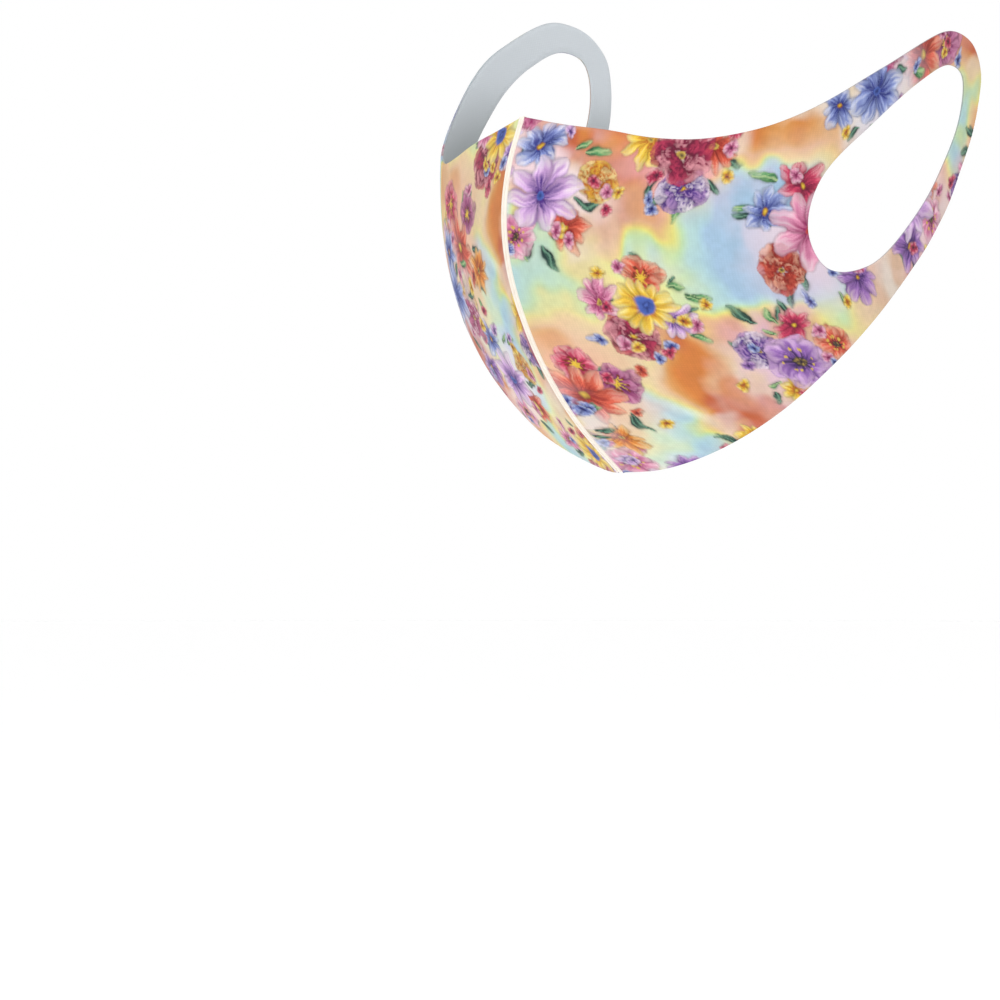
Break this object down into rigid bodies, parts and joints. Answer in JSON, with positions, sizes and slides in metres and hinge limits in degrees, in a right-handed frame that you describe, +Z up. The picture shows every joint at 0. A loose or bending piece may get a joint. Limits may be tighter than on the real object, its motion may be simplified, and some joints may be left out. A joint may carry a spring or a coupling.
{
  "type": "cloth face mask",
  "caption": "Stretch-cloth face mask of two floral-printed panels with cut-out ear loops and a curved white centre seam.",
  "frame": {"origin": "top end of the centre seam, where the mask sits on the bridge of the nose", "axes": "+Z up, +Y back towards the ears, +X towards the wearer's left"},
  "size_m": [0.1746, 0.143, 0.163],
  "materials": {
    "printed_cloth": "matt stretch knit, printed outside and plain grey inside",
    "seam": "smooth white bonded seam"
  },
  "bodies": {
    "root": {"left_panel": "printed_cloth", "right_panel": "printed_cloth", "centre_seam": "seam"}
  },
  "joints": []
}
